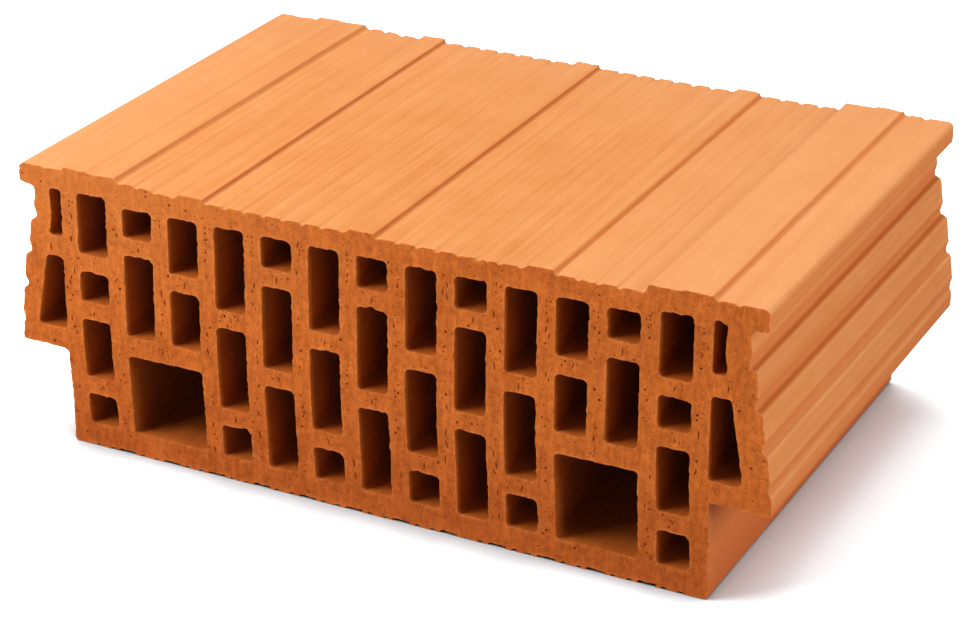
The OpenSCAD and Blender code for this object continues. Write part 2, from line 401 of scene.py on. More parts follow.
def wall(
    loop, depths, finish, torn, scored, waved, rounded, chips=0, painted_shade=0.0, combed_at_ends=0.0
):
    """Stores one wall and returns the first ring's and the last ring's point numbers.

    torn, scored, waved and rounded are the sizes of the pushes, and chips counts a rim's nicks.
    """
    air = air_side(loop)
    score = wander(loop, SCORE_BUMP) * scored
    faces_wire = np.clip(-WIRE_RUN * (air[:, 0] + air[:, 1]), 0, 1)
    torn = torn * (LEAST_TORN + TORN_BY_WIRE * faces_wire)
    ragged = [
        torn * (wander(loop, TEAR_BUMP) + BIG_TEARS * wander(loop, BIG_TEAR_BUMP))
        for _ in range(2)
    ]
    rounding = [rounded * (1 + 0.7 * np.abs(wander(loop, ROUNDING_BUMP))) for _ in range(2)]
    for end in range(2):
        for _ in range(chips):
            nick(ragged[end], loop)
    starts = []
    for depth in depths:
        others = length - depth
        push = score + waved * wander(loop, WAVE_BUMP)
        at_start, at_end = math.exp(-depth / TORN_DEPTH), math.exp(-others / TORN_DEPTH)
        push += ragged[0] * at_start + ragged[1] * at_end - combed_at_ends * (at_start + at_end)
        if depth == 0:
            push -= rounding[0]
        if others == 0:
            push -= rounding[1]
        ring = loop + air * push[:, None]
        points = np.column_stack([ring[:, 0], np.full(len(loop), front + depth), ring[:, 1]])
        near_rim = math.exp(-min(depth, others) / RIM_DUST_AND_HIGHLIGHT_DEPTH)
        starts.append(add_points(points, rim=near_rim, painted_shade=painted_shade))
    return join_rings(starts[0], len(loop), len(depths), finish)


print("a wall's rubbed tone 1 mm from a rim:", round(math.exp(-1 / RIM_DUST_AND_HIGHLIGHT_DEPTH), 2))

# %% [markdown]
# ## Forty-four walls
# The rings stand close together at the rims, where the clay is torn, and far apart in between,
# where only the slow wave has to be followed. Evenly spaced rings would need many times the faces
# for the same rims.

# %% Draw the outer wall and the hole walls
RIM_DEPTH = 0.5          # how far in the rounded rim reaches


def ring_depths(near_rim, gap):
    """Depths of the rings: close together at both rims, and about gap apart in between."""
    middle = length - 2 * near_rim[-1]
    steps = round(middle / gap)
    inner = [near_rim[-1] + middle * i / steps for i in range(1, steps)]
    return near_rim + inner + [length - depth for depth in reversed(near_rim)]


outer_rims = wall(
    outer, ring_depths([0, RIM_DEPTH, 1.3, 2.8, 6.0, 14.0], gap=44), DRAWN,
    torn=0.45, scored=0.04, waved=0.10, rounded=0.14, chips=20, painted_shade=painted_shade,
    combed_at_ends=combed_at_ends,
)
hole_depths = ring_depths([0, RIM_DEPTH, 1.8, 6.0], gap=110)
hole_rims = [
    wall(loop, hole_depths, BORE, torn=0.48, scored=0.08, waved=0.12, rounded=0.12, chips=1)
    for loop in holes
]
print("faces in the walls:", len(clay["faces"]))

# %% [markdown]
# ## Where the clay knits and tears
# In the die, a bridge of steel holds the core of every hole. The clay flows round it and closes
# again behind it, and where two streams meet it knits less well. After firing, small pits and
# short cracks sit in rows along the middle of the webs. Strewn evenly, they would miss that. So
# their places follow from the holes and the gaps between them.

# %% Middle lines of the webs
WIDEST_WEB = 20
MOSTLY = 0.8             # two holes stack up when they share so much of the narrower one's width
boxes = [(loop[:, 0].min(), loop[:, 1].min(), loop[:, 0].max(), loop[:, 1].max()) for loop in holes]


def overlap(a0, a1, b0, b1):
    return min(a1, b1) - max(a0, b0)


def webs_beside_holes():
    """Upright webs as (x, lowest z, highest z), each between a hole and the next on its right."""
    webs = []
    for x0, z0, x1, z1 in boxes:
        for u0, w0, u1, w1 in boxes:
            if 0 < u0 - x1 < WIDEST_WEB and overlap(z0, z1, w0, w1) > 0:
                webs.append(((x1 + u0) / 2, max(z0, w0), min(z1, w1)))
    return webs


def bridges_between_holes():
    """Level bridges as (x, lower z, upper z), each between a hole and the one above it."""
    bridges = []
    for x0, z0, x1, z1 in boxes:
        for u0, w0, u1, w1 in boxes:
            stacked = overlap(x0, x1, u0, u1) > MOSTLY * min(x1 - x0, u1 - u0)
            if 0 < w0 - z1 < WIDEST_WEB and stacked:
                bridges.append(((x0 + x1) / 2, z1, w0))
    return bridges


webs, bridges = webs_beside_holes(), bridges_between_holes()
highest_ceiling = max(z1 for x0, z0, x1, z1 in boxes)
print(len(webs), "webs and", len(bridges), "bridges below", highest_ceiling, "mm")

# %% [markdown]
# ## Room for a flaw
# A bump texture could suggest the pits and cracks, but the light wouldn't fall into them. So each
# is a small shape in the mesh. At first it is only described, as flat points with a depth, and a
# later step weaves it into the face. A new flaw is kept clear of the rims and of the flaws before
# it, or the faces between them would be crushed.

# %% The list of flaws
CLEAR_OF_RIM, CLEAR_OF_FLAW = 0.5, 0.45


class Flaws:
    """The flaws of one end face: flat points with a depth, and edges that must stay."""

    def __init__(self, rim_tree):
        self.rim_tree = rim_tree
        self.taken = []
        self.points, self.depths, self.edges = [], [], []

    def free(self, x, z, reach):
        if self.rim_tree.find((x, z, 0))[2] < reach + CLEAR_OF_RIM:
            return False
        return all(math.dist((x, z), (u, w)) > reach + r + CLEAR_OF_FLAW for u, w, r in self.taken)

    def add(self, points, depths, edges):
        first = len(self.points)
        self.points += points
        self.depths += depths
        self.edges += [(first + a, first + b) for a, b in edges]


print("flaws keep", CLEAR_OF_RIM, "mm from a rim and", CLEAR_OF_FLAW, "mm from each other")

# %% [markdown]
# ## Pits and cracks as small shapes
# A pit is a ring of points on the face with a few deeper points inside, where a grain fell out or
# a bubble burst. A crack is a line of deep points between two banks, widest in its middle.

# %% Pits and cracks
SMALL_PIT = 0.5          # a pit below this radius has fewer corners and no inner ring
CRACK_STEP = 1.1
CRACK_ROOM = 0.35        # the room that each spot of a crack takes


def pit(flaws, x, z, radius):
    """A ring of points around (x, z), with deeper points inside it."""
    if not flaws.free(x, z, radius):
        return
    flaws.taken.append((x, z, radius))
    corners = 6 if radius < SMALL_PIT else 8
    rings = [(corners, 1.0, 0.0), (5, 0.55, 0.5)]          # corners, share of the radius, depth
    squeeze = chance.uniform(0.75, 1.0)
    turn = chance.uniform(0, math.tau)
    points, depths = [], []
    for count, share, depth in rings[:1] if radius < SMALL_PIT else rings:
        for i in range(count):
            angle = turn + math.tau * i / count
            r = radius * share * chance.uniform(0.85, 1.12)
            points.append((x + r * math.cos(angle) * squeeze, z + r * math.sin(angle)))
            depths.append(depth * radius)
    points.append((x, z))
    depths.append(radius * chance.uniform(0.8, 1.3))
    flaws.add(points, depths, [(i, (i + 1) % corners) for i in range(corners)])


def crack(flaws, x, z, lean, size, width):
    """A crack with its middle at (x, z), leaning from the upright by so many degrees."""
    steps = max(3, round(size / CRACK_STEP))
    along = Vector((math.sin(math.radians(lean)), math.cos(math.radians(lean))))
    aside = Vector((along.y, -along.x))
    spots, banks = [], []
    for i in range(steps + 1):
        share = i / steps
        sway = aside * chance.uniform(-0.3, 0.3)
        spots.append(Vector((x, z)) + along * size * (share - 0.5) + sway)
        banks.append(width / 2 * (0.25 + math.sin(math.pi * share)) * chance.uniform(0.8, 1.2))
    if not all(flaws.free(spot.x, spot.y, CRACK_ROOM) for spot in spots):
        return
    flaws.taken += [(spot.x, spot.y, CRACK_ROOM) for spot in spots]
    points = [tuple(s + aside * b * side) for side in (-1, 0, 1) for s, b in zip(spots, banks)]
    level = [0.0] * (steps + 1)
    deep = [0.0 if i in (0, steps) else chance.uniform(0.6, 1.1) for i in range(steps + 1)]
    edges = [
        (line * (steps + 1) + i, line * (steps + 1) + i + 1)
        for line in range(3) for i in range(steps)
    ]
    flaws.add(points, level + deep + level, edges)


print("a crack 5 mm long has", round(5 / CRACK_STEP), "steps")

# %% [markdown]
# ## Inside or outside
# Flaws and points may only lie where there is clay. A point is inside a loop when a line from it
# to one side crosses the loop an odd number of times, and it is in the clay when it is inside the
# outer loop and outside all the holes.

# %% In the clay or not
def inside(points, loop):
    """For each point, whether it lies inside the loop: it crosses an odd number of its edges."""
    ends = np.roll(loop, -1, axis=0)
    odd = np.zeros(len(points), bool)
    for (x0, z0), (x1, z1) in zip(loop, ends):
        spans = (points[:, 1] < z0) != (points[:, 1] < z1)
        if spans.any():
            x_cross = x0 + (points[spans, 1] - z0) * (x1 - x0) / (z1 - z0)
            odd[spans] ^= points[spans, 0] < x_cross
    return odd


def in_clay(points, loops):
    """For each point, whether it lies inside the first loop and outside all the others."""
    solid = inside(points, loops[0])
    for loop in loops[1:]:
        near = ((points > loop.min(axis=0)) & (points < loop.max(axis=0))).all(axis=1)
        if near.any():
            solid[near] &= ~inside(points[near], loop)
    return solid


in_a_web = np.array([webs[0][:2]])
print("the foot of the first web is in the clay:", bool(in_clay(in_a_web, [outer] + holes)[0]))

# %% [markdown]
# ## Strewing the flaws
# Placed by hand, a thousand flaws would take days. Here they are strewn along the middle lines by
# chance. Below the deck a web often ends in a small star: a pit with a crack beside it and one
# under it. Pits and upright cracks follow the middle of each web, a crack and some pits sit in
# most bridges, and fine pits lie anywhere.

# %% Strew the flaws over an end face
STAR_SHARE, CRACK_SHARE, BRIDGE_SHARE = 0.8, 0.3, 0.85
STAR_ZONE, STAR_ROOM = 12, 2       # how far below the highest ceiling stars start, and end
BRIDGE_PITS, LOOSE_PITS = 4, 650
UPRIGHT = (0, 9)         # a crack's usual lean and how much it varies, in degrees


def mostly_small(smallest, extra, rarity=2):
    """The radius of a pit: mostly near the smallest, and now and then up to extra more."""
    return smallest + extra * chance.random() ** rarity


def star(flaws, x, z1):
    z = min(z1, highest_ceiling - STAR_ROOM) - chance.uniform(2, 5)
    pit(flaws, x, z, chance.uniform(0.8, 1.0))
    crack(flaws, x + chance.choice((-2.9, 2.9)), z, chance.uniform(80, 100), 2.0, 0.9)
    crack(flaws, x, z - 3.2, chance.normal(0, 10), 2.6, 0.8)


def strew_web(flaws, x, z0, z1, plenty):
    """Pits and cracks up the middle of a web, with a star at its top if that is high enough."""
    if z1 > highest_ceiling - STAR_ZONE and chance.random() < STAR_SHARE:
        star(flaws, x, z1)
    z = z0 + chance.uniform(0, 3)
    while z < z1:
        if chance.random() < CRACK_SHARE:
            size, width = chance.uniform(2.5, 6.5), chance.uniform(0.7, 1.2)
            crack(flaws, x + chance.normal(0, 1.2), z, chance.normal(*UPRIGHT), size, width)
        else:
            pit(flaws, x + chance.normal(0, 1.1), z, mostly_small(0.5, extra=0.7))
        z += chance.uniform(2.4, 6.0) / plenty


def strew_bridge(flaws, x, z0, z1, plenty):
    """A crack in most bridges, and some pits around it."""
    if chance.random() < BRIDGE_SHARE * plenty:
        x_crack, z_crack = x + chance.normal(0, 0.8), (z0 + z1) / 2 + chance.uniform(-1.5, 1.5)
        lean, size = chance.normal(*UPRIGHT), chance.uniform(3.0, 6.5)
        crack(flaws, x_crack, z_crack, lean, size, chance.uniform(0.6, 1.0))
    for _ in range(round(BRIDGE_PITS * plenty)):
        x_near, z_near = x + chance.normal(0, 3.0), chance.uniform(z0 + 1, z1 - 1)
        pit(flaws, x_near, z_near, mostly_small(0.45, extra=0.65))


def strew(flaws, plenty):
    """Places the flaws of one end face. plenty scales how many there are."""
    for web in webs:
        strew_web(flaws, *web, plenty)
    for bridge in bridges:
        strew_bridge(flaws, *bridge, plenty)
    count = round(LOOSE_PITS * plenty)
    (x0, z0), (x1, z1) = outer.min(axis=0), outer.max(axis=0)
    loose = np.column_stack([chance.uniform(x0, x1, count), chance.uniform(z0, z1, count)])
    for x, z in loose[in_clay(loose, [outer] + holes)].tolist():
        pit(flaws, x, z, mostly_small(0.45, extra=0.75, rarity=3))


stars = sum(z1 > highest_ceiling - STAR_ZONE for x, z0, z1 in webs)
print(stars, "webs reach high enough for a star")

# %% [markdown]
# ## A sheet of points
# The face between 44 rims could be filled with one many-sided polygon, but then it has no points
# of its own to be uneven with. So a sheet of points in a triangular pattern is laid over it, each
# a little out of place, since a true pattern would show in the torn face.

# %% Points for an end face
def sheet_of_points(spacing, loops):
    (x0, z0), (x1, z1) = outer.min(axis=0), outer.max(axis=0)
    rows = []
    for k, z in enumerate(np.arange(z0 + spacing / 2, z1, spacing * math.sqrt(0.75))):
        x = np.arange(x0 + spacing * (0.25 + 0.5 * (k % 2)), x1, spacing)
        rows.append(np.column_stack([x, np.full(len(x), z)]))
    points = np.concatenate(rows)
    points += chance.uniform(-0.22, 0.22, points.shape) * spacing
    return points[in_clay(points, loops)]


def tree_of(points):
    """A search tree that finds the nearest of the points."""
    tree = KDTree(len(points))
    for i, (x, z) in enumerate(points.tolist()):
        tree.insert((x, z, 0), i)
    tree.balance()
    return tree


def ring_edges(rims):
    """The edges of closed rims whose points are numbered one rim after the other."""
    edges, first = [], 0
    for rim in rims:
        count = len(rim)
        edges += [(first + i, first + (i + 1) % count) for i in range(count)]
        first += count
    return edges


print("a triangle's edges:", ring_edges([range(3)]))

# %% [markdown]
# ## Weaving an end face
# The flaws are set into the sheet, and a Delaunay triangulation joins them all to the rims. It
# keeps the triangles as even as it can and respects the edges that must stay. The wire leaves a
# torn, slightly hilly face, so each point sinks in by a small smooth random amount.

# %% Weave an end face
TORN_IN = 0.2            # how deep the torn face lies behind the true end, on the whole
ROOM = 0.55              # a sheet point closer than this share of spacing to a rim or flaw goes
GRAIN_HILLS, WIDE_HILLS = (0.10, 2.6), (0.05, 9.0)          # height and size
PIT_TONE_DEPTH = 0.6     # a point this deep has the full tone of a pit
WITHIN_EDGES = 1         # the triangulation's setting for triangles inside closed edges only
SAME_PLACE = 1e-5        # points this close together become one


def facing(flat, triangles, inward):
    """The triangles, turned over where they would face into the clay."""
    a, b, c = (flat[triangles[:, k]] for k in range(3))
    turn = (b[:, 0] - a[:, 0]) * (c[:, 1] - a[:, 1]) - (b[:, 1] - a[:, 1]) * (c[:, 0] - a[:, 0])
    backwards = turn * inward < 0
    triangles[backwards] = triangles[backwards][:, ::-1]
    return triangles


def weave(rims, y_end, inward, spacing, plenty):
    """Closes one end of the block. inward is 1 at the front and -1 at the back."""
    stored = np.concatenate(clay["points"])
    rim_numbers = np.concatenate(rims)
    rim_points = stored[rim_numbers][:, [0, 2]]
    loops = [stored[rim][:, [0, 2]] for rim in rims]
    flaws = Flaws(tree_of(rim_points))
    strew(flaws, plenty)
    fixed = np.concatenate([rim_points, np.array(flaws.points)])
    fixed_tree = tree_of(fixed)
    sheet = sheet_of_points(spacing, loops)
    room = [fixed_tree.find((x, z, 0))[2] > ROOM * spacing for x, z in sheet.tolist()]
    flat = np.concatenate([fixed, sheet[room]])
    edges = ring_edges(rims)
    edges += [(len(rim_numbers) + a, len(rim_numbers) + b) for a, b in flaws.edges]
    corners = [Vector(p) for p in flat.tolist()]
    made = delaunay_2d_cdt(corners, edges, [], WITHIN_EDGES, SAME_PLACE, True)
    woven, triangles, came_from = np.array(made[0]), np.array(made[2]), made[3]
    triangles = triangles[in_clay(woven[triangles].mean(axis=1), loops)]

    depths = np.zeros(len(woven))
    numbers = np.full(len(woven), -1)
    for i, sources in enumerate(came_from):
        if sources and sources[0] < len(rim_numbers):
            numbers[i] = rim_numbers[sources[0]]
        elif sources and sources[0] < len(fixed):
            depths[i] = flaws.depths[sources[0] - len(rim_numbers)]
    fresh = np.flatnonzero(numbers < 0)
    x, z = woven[fresh].T
    small, wide = (height * hills(x, z, size) for height, size in (GRAIN_HILLS, WIDE_HILLS))
    y = y_end + inward * (small + wide + TORN_IN + depths[fresh])
    hollow = np.clip(depths[fresh] / PIT_TONE_DEPTH, 0, 1)
    numbers[fresh] = add_points(np.column_stack([x, y, z]), hollow) + np.arange(len(fresh))
    add_faces(numbers[facing(woven, triangles, inward)], CUT)
    print(len(triangles), "triangles,", len(flaws.taken), "flaws,", len(woven) - len(flat), "new")


front_rims, back_rims = ([outer_rims[end]] + [rim[end] for rim in hole_rims] for end in (0, 1))
weave(front_rims, front, inward=1, spacing=2.1, plenty=1.0)
weave(back_rims, back, inward=-1, spacing=3.2, plenty=0.5)

# %% [markdown]
# ## Settling
# A soft block doesn't stay as true as its die. The steel cores sat a little off the middle. While
# the block dried, its upper body leaned over the foot, and one top edge sagged, more at the back
# than at the front. All this is a few millimetres on half a metre, yet without it the block looks
# like a drawing. A lattice could bend the mesh, but it bends everything near it. A function of the
# place can leave the foot and the ledges where they are, since the block stands on the one and
# hangs by the others.

# %% Settle the block
LEAN = 0.0135            # millimetres of lean for each millimetre of height or width
CORE_SHIFT = 2.7         # how far the cores sit off the middle
LESS_IN_DECK = 0.55      # the share of that which the deck plate doesn't follow
SKIN = (241, 250)        # distances from the middle where the cores end and the skin starts
SKIN_SLANT, FLANK_MIDDLE = 0.17, 100         # the flanks draw in towards the top
DECK_PLATE = (183, 190)  # levels from the topmost holes to the combing
NECK = (160, 175)        # from the highest band to the lip
LOWEST_BAND, NEXT_BAND, TOP_BAND = (66, 90), (90, 120), (134, 144)
FOOT_SIDE, ABOVE_LEDGE = (209, 222), (66, 120)         # where the lean spares the ledge
LEFT_STRIP, LEFT_STRIP_END = (138, 168), (-235, -185)  # the edge strip's rise, and its outer end
LIP_MOVE, RIGHT_MOVE, STRIP_MOVE = 1.8, 2.0, 4.2
SAG_WIDTH, SAG_LEVELS = (120, 210), (150, 180)
SAG_FRONT, SAG_MORE_AT_BACK = 0.8, 2.6
ABOVE_FLOOR = 0.02       # the lowest points stay clear of the floor, or the two would flicker


def settled(x, y, z):
    """Where points of the fresh block end up, as new x and new z."""
    towards_back = (y - front) / length
    in_deck, at_lip = ramp(z, *DECK_PLATE), ramp(z, *NECK)
    skin = ramp(np.abs(x) + SKIN_SLANT * (z - FLANK_MIDDLE), *SKIN)
    core = CORE_SHIFT * (1 - skin) * (1 - LESS_IN_DECK * in_deck)
    # Inside the block the lean grows from the floor up, and at its skin only from the ledges up.
    upper = ramp(z, 55 * skin, 90 + 115 * skin)
    spared = ramp(np.abs(x), *FOOT_SIDE) * (1 - ramp(z, *ABOVE_LEDGE))

    right_side = (1 - at_lip) * (1 - towards_back) * (1 - 0.7 * ramp(z, *TOP_BAND))
    right_side = LIP_MOVE * at_lip + RIGHT_MOVE * right_side
    left_side = LIP_MOVE * ramp(z, *NEXT_BAND) * (1 - 0.6 * at_lip)
    flank = skin * ramp(z, *LOWEST_BAND) * np.where(x > 0, right_side, left_side)
    edge_strip = STRIP_MOVE * in_deck * ramp(-x, *LEFT_STRIP) * ramp(x, *LEFT_STRIP_END)
    new_x = x - upper * (LEAN * z + core) - flank - edge_strip

    sag = ramp(-x, *SAG_WIDTH) * ramp(z, *SAG_LEVELS)
    sag = sag * (SAG_FRONT + SAG_MORE_AT_BACK * towards_back)
    new_z = z + (1 - spared) * upper * LEAN * x - sag
    return new_x, new_z


points = np.concatenate(clay["points"])
new_x, new_z = settled(*points.T)
largest = float(np.hypot(new_x - points[:, 0], new_z - points[:, 2]).max())
print("largest move:", round(largest, 1), "mm")
points[:, 0], points[:, 2] = new_x, np.maximum(new_z, ABOVE_FLOOR)

# %% [markdown]
# ## The finished mesh
# The store becomes one mesh. Faces that meet at a gentle angle are shaded as one smooth surface,
# and a sharper meeting, as at a pit's bank or a rim, keeps its edge. Flat shading everywhere would
# show the rings of the walls, and smooth shading everywhere would blur the rims.

# %% Make the mesh
SHARP_ANGLE = 38
mesh = bpy.data.meshes.new("fired_block")
mesh.from_pydata((points * mm).tolist(), [], clay["faces"])
mesh.polygons.foreach_set("material_index", clay["finish"])
mesh.polygons.foreach_set("use_smooth", [True] * len(mesh.polygons))
for name in ("hollow", "rim", "painted_shade"):
    values = mesh.attributes.new(name, "FLOAT", "POINT")
    values.data.foreach_set("value", np.concatenate(clay[name]))
mesh.update()
mesh.set_sharp_from_angle(angle=math.radians(SHARP_ANGLE))
block = bpy.data.objects.new("fired_block", mesh)
bpy.context.scene.collection.objects.link(block)
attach(block, "root")
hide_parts("ceiling_block")
mesh.calc_loop_triangles()
print("triangles:", len(mesh.loop_triangles))

# %% [markdown]
# ## Shader helpers
# A material could be clicked together in the node editor. Written as code, it is easier to read
# when each node is one line. fill_socket either writes a value into an input or links another
# node's output to it, and add_node makes a node, sets its options and fills its inputs. The other
# helpers are its commonest uses.

# %% One-line nodes
def fill_socket(tree, socket, value):
    if isinstance(value, bpy.types.NodeSocket):
        tree.links.new(value, socket)
    else:
        socket.default_value = value


def add_node(tree, kind, inputs=(), **options):
    node = tree.nodes.new("ShaderNode" + kind)
    for option, value in options.items():
        setattr(node, option, value)
    for label, value in dict(inputs).items():
        fill_socket(tree, node.inputs[label], value)
    return node


def calculate(tree, operation, first, second=0.0, clamp=False):
    node = add_node(tree, "Math", {0: first, 1: second}, operation=operation, use_clamp=clamp)
    return node.outputs[0]


def spread(tree, value, start, end, blend="LINEAR", to=(0.0, 1.0)):
    """Stretches the part of value from start to end to the range to."""
    inputs = {0: value, 1: start, 2: end, 3: to[0], 4: to[1]}
    return add_node(tree, "MapRange", inputs, interpolation_type=blend).outputs[0]


def mixed(tree, factor, first, second, blend="MIX"):
    """A blend of two colours, which are sockets or (red, green, blue)."""
    node = add_node(tree, "Mix", data_type="RGBA", blend_type=blend)
    fill_socket(tree, node.inputs[0], factor)
    for socket, colour in ((node.inputs[6], first), (node.inputs[7], second)):
        fill_socket(tree, socket, (*colour, 1) if isinstance(colour, tuple) else colour)
    return node.outputs[2]


print("helpers:", [helper.__name__ for helper in (add_node, calculate, spread, mixed)])

# %% [markdown]
# ## Groups with named sockets
# Three finishes share the same four effects. Copying the nodes into each material would work, but
# a change would have to be made three times. A node group is built once, and each material places
# it with its own values in the named sockets.

# %% New node groups
def new_group(name, inputs, outputs):
    """A node group with named sockets, and its input and output nodes."""
    group = bpy.data.node_groups.new(name, "ShaderNodeTree")
    for label, kind, value in inputs:
        socket = group.interface.new_socket(label, in_out="INPUT", socket_type="NodeSocket" + kind)
        if value is not None:
            socket.default_value = value
    for label in outputs:
        group.interface.new_socket(label, in_out="OUTPUT", socket_type="NodeSocketFloat")
    return group, group.nodes.new("NodeGroupInput"), group.nodes.new("NodeGroupOutput")


def finish_group(group, given, values):
    """Links the values to the group's outputs of the same names."""
    for label, value in values.items():
        group.links.new(value, given.inputs[label])
    print(group.name, "gives", list(values))


print("node groups so far:", len(bpy.data.node_groups))

# %% [markdown]
# ## Clay body, a shared effect
# Fired brick clay is never one colour. Patches a few centimetres wide come from the fire, blotches
# of some millimetres from how the clay was mixed, and single grains from sand and crushed brick.
# All three finishes need them in their own strengths. The group takes the place on the block in
# millimetres and gives back values, not colours, so that each finish can tint them its own way.

# %% Node group: clay body
NOISE_RANGE = (0.3, 0.7)           # noise rarely leaves this range, so it is stretched
body_group, taken, given = new_group(
    "clay body",
    [("Place", "Vector", None), ("Patch size", "Float", 40.0), ("Blotch size", "Float", 5.0),
     ("Grain size", "Float", 0.8)],
    ["Patches", "Blotches", "Grains"],
)


def noise_of_size(tree, place, size, detail):
    """Noise from 0 to 1 whose blobs are about size across."""
    scale = calculate(tree, "DIVIDE", 1.0, size)
    inputs = {"Vector": place, "Scale": scale, "Detail": detail, "Roughness": 0.55}
    return spread(tree, add_node(tree, "TexNoise", inputs).outputs[0], *NOISE_RANGE)


finish_group(body_group, given, {
    label: noise_of_size(body_group, taken.outputs["Place"], taken.outputs[size_name], detail)
    for label, size_name, detail in (
        ("Patches", "Patch size", 2.0),
        ("Blotches", "Blotch size", 3.0),
        ("Grains", "Grain size", 2.0),
    )
})

# %% [markdown]
# ## Drawn lines, a shared effect
# Grit in the die scores the strand, so the skin and the hole walls carry fine lines that run the
# whole length. The same noise as before does this when its space is squeezed along one
# direction: a blob one millimetre wide becomes a line a hundred millimetres long. The wire drags
# its own, much shorter marks down the cut faces.

# %% Node group: drawn lines
BROADER = 4.5            # how much wider the broad lines are
lines_group, taken, given = new_group(
    "drawn lines",
    [("Place", "Vector", None), ("Line width", "Float", 1.2), ("Stretch", "Vector", (1, 90, 1))],
    ["Fine lines", "Broad lines"],
)
sockets = {0: taken.outputs["Place"], 1: taken.outputs["Stretch"]}
line_place = add_node(lines_group, "VectorMath", sockets, operation="DIVIDE").outputs[0]
fine_width = taken.outputs["Line width"]
broad_width = calculate(lines_group, "MULTIPLY", fine_width, BROADER)
finish_group(lines_group, given, {
    "Fine lines": noise_of_size(lines_group, line_place, fine_width, 2.0),
    "Broad lines": noise_of_size(lines_group, line_place, broad_width, 2.0),
})

# %% [markdown]
# ## Open pores, a shared effect
# Between the pits that are real shapes lie many pores too small to mesh. Noise would give blobs of
# every size. Each cell of a Voronoi pattern gets one dot of the same size, and only cells whose
# own random value is low enough keep it.

# %% Node group: open pores
pores_group, taken, given = new_group(
    "open pores",
    [("Place", "Vector", None), ("Spacing", "Float", 3.0), ("Pore size", "Float", 0.3),
     ("Share", "Float", 0.4)],
    ["Pores"],
)
spacing, pore_size = taken.outputs["Spacing"], taken.outputs["Pore size"]
density = calculate(pores_group, "DIVIDE", 1.0, spacing)
sockets = {"Vector": taken.outputs["Place"], "Scale": density, "Randomness": 1.0}
cells = add_node(pores_group, "TexVoronoi", sockets)
away = calculate(pores_group, "MULTIPLY", cells.outputs["Distance"], spacing)
dark_to = calculate(pores_group, "MULTIPLY", pore_size, 0.5)
dot = spread(pores_group, away, dark_to, pore_size, to=(1.0, 0.0))
own_value = add_node(pores_group, "SeparateColor", {0: cells.outputs["Color"]}).outputs[0]
has_pore = calculate(pores_group, "LESS_THAN", own_value, taken.outputs["Share"])
finish_group(pores_group, given, {"Pores": calculate(pores_group, "MULTIPLY", dot, has_pore)})

# %% [markdown]
# ## Paleness and painted shade, a shared effect
# Some tones follow the place on the block. The low part gets painted shade and turns darker and
# redder, both sides of the deck and its far end turn paler, one upper corner turns paler, sides
# that face down or sideways get painted shade, and the depths of the holes the deepest painted
# shade.
# Painting this by hand would tie it to one block. Each of these is one value from 0 to 1, worked
# out from the place.

# %% Node group: paleness and painted shade
QUIET_LINE = -40.0       # the deck is least pale a little left of its middle
PALE_SIDES, PALE_END = (90.0, 240.0), (-20.0, 260.0)
PALE_CORNER_LEFT, PALE_CORNER_TOP = (60.0, -230.0), (90.0, 200.0)
LOW_PART = (110.0, 0.0)
UP_FACING, AWAY_FACING = (0.3, 0.9), (0.25, 0.0)       # the upward share of a direction
INTO_HOLE = (0.0, 28.0)
pale_and_shade_group, taken, given = new_group(
    "paleness and painted shade", [("Place", "Vector", None), ("Half length", "Float", 166.5)],
    ["Low shade", "Pale edges", "Paler corner", "Turned away shade", "Deep inside shade"],
)
across, along, up = add_node(pale_and_shade_group, "SeparateXYZ", {0: taken.outputs["Place"]}).outputs
normal = add_node(pale_and_shade_group, "NewGeometry").outputs["Normal"]
facing_up = add_node(pale_and_shade_group, "SeparateXYZ", {0: normal}).outputs[2]
off_line = calculate(pale_and_shade_group, "SUBTRACT", across, QUIET_LINE)
off_line = calculate(pale_and_shade_group, "ABSOLUTE", off_line)
at_sides = spread(pale_and_shade_group, off_line, *PALE_SIDES, "SMOOTHSTEP")
at_far_end = spread(pale_and_shade_group, along, *PALE_END, "SMOOTHSTEP")
at_edges = calculate(pale_and_shade_group, "MAXIMUM", at_sides, at_far_end)
on_top = spread(pale_and_shade_group, facing_up, *UP_FACING)
to_left = spread(pale_and_shade_group, across, *PALE_CORNER_LEFT, "SMOOTHSTEP")
to_top = spread(pale_and_shade_group, up, *PALE_CORNER_TOP, "SMOOTHSTEP")
off_middle = calculate(pale_and_shade_group, "ABSOLUTE", along)
depth = calculate(pale_and_shade_group, "SUBTRACT", taken.outputs["Half length"], off_middle)
# Painted shade comes from the low part, the faces turned away and the depths of the holes; the
# deck's edges and one upper corner are only paler.
finish_group(pale_and_shade_group, given, {
    "Low shade": spread(pale_and_shade_group, up, *LOW_PART, "SMOOTHSTEP"),
    "Pale edges": calculate(pale_and_shade_group, "MULTIPLY", at_edges, on_top),
    "Paler corner": calculate(pale_and_shade_group, "MULTIPLY", to_left, to_top),
    "Turned away shade": spread(pale_and_shade_group, facing_up, *AWAY_FACING),
    "Deep inside shade": spread(pale_and_shade_group, depth, *INTO_HOLE),
})

# %% [markdown]
# ## A clay finish
# The three finishes are built the same way and differ in their values. A deep and a pale tone are
# mixed by the shared effects, less strongly on the sides where a finish is calm there, and the
# values for paleness and painted shade tint the result. Pores and pits are painted darker, because
# light is lost in them, and rims paler, partly as rubbed dust and partly as a painted highlight.
# The same values, weighed again, give the height for the bump. The shader stays in the material,
# outside the groups.

# %% A finish from the shared effects
PORE_DARKNESS, DARKEST = 0.45, 0.85
PORE_DEPTH = 0.8         # in the bump, in the same measure as relief
RELIEF_HEIGHT = 0.2 * mm
DULL = 0.15              # fired clay mirrors very little


